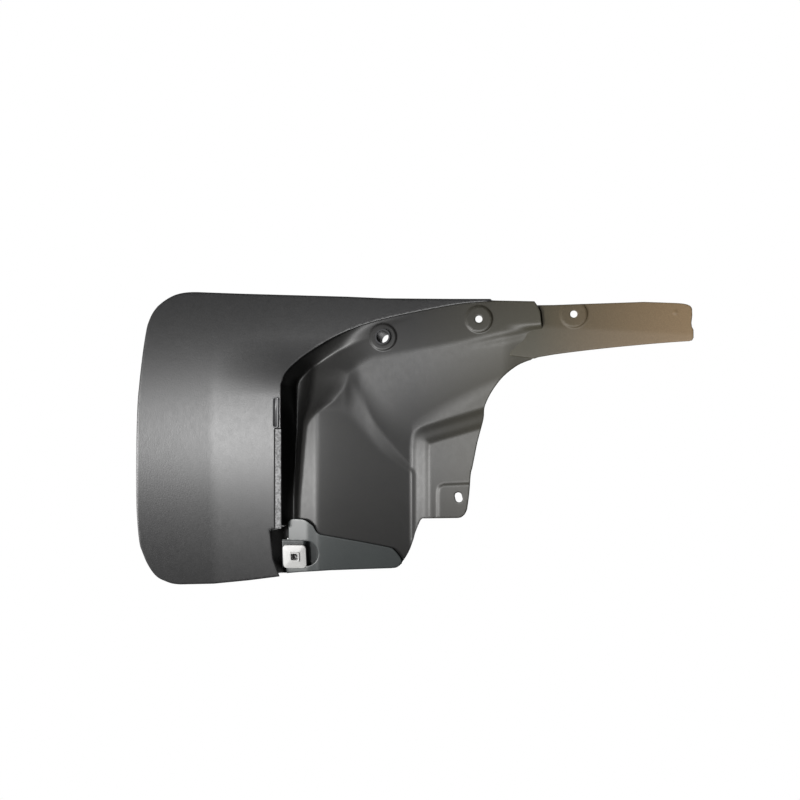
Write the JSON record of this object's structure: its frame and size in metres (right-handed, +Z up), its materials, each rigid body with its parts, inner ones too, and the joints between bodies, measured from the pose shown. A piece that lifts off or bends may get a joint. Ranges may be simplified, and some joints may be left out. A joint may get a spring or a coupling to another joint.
{
  "type": "mud flap",
  "caption": "Moulded wheel-arch mud flap for the right side of a car: curved flap, liner panel with raised pad and tab, and a long arm up the arch.",
  "frame": {"origin": "mouth of the lower flange hole, on the face towards the wheel", "axes": "+Z up the car, +X towards the middle of the car, +Y to the rear, away from the wheel"},
  "size_m": [0.2953, 0.1572, 0.5531],
  "materials": {
    "flap_plastic": "fine-grained matt black polypropylene",
    "liner_plastic": "smooth semi-matt black polypropylene",
    "arm_plastic": "smooth brown-black polypropylene with a low sheen",
    "gusset_plastic": "smooth semi-matt black polypropylene",
    "strip_rubber": "coarse-grained rubber",
    "clip_plastic": "moulded black nylon",
    "nut_nylon": "natural white nylon",
    "bush_steel": "black-passivated steel sleeve",
    "push_nut_steel": "phosphated spring steel"
  },
  "bodies": {
    "root": {"arch_liner": "liner_plastic", "arm_push_nut_1": "push_nut_steel", "arm_push_nut_2": "push_nut_steel", "edge_clip": "clip_plastic", "edge_strip": "strip_rubber", "flap_panel": "flap_plastic", "gusset_push_nut_1": "push_nut_steel", "gusset_push_nut_2": "push_nut_steel", "lower_gusset": "gusset_plastic", "lower_hole_bush": "bush_steel", "seam_push_nut_1": "push_nut_steel", "seam_push_nut_2": "push_nut_steel", "seam_push_nut_3": "push_nut_steel", "seam_push_nut_4": "push_nut_steel", "seam_push_nut_5": "push_nut_steel", "seam_push_nut_6": "push_nut_steel", "seam_push_nut_7": "push_nut_steel", "square_nut": "nut_nylon", "upper_arm": "arm_plastic"}
  },
  "joints": []
}
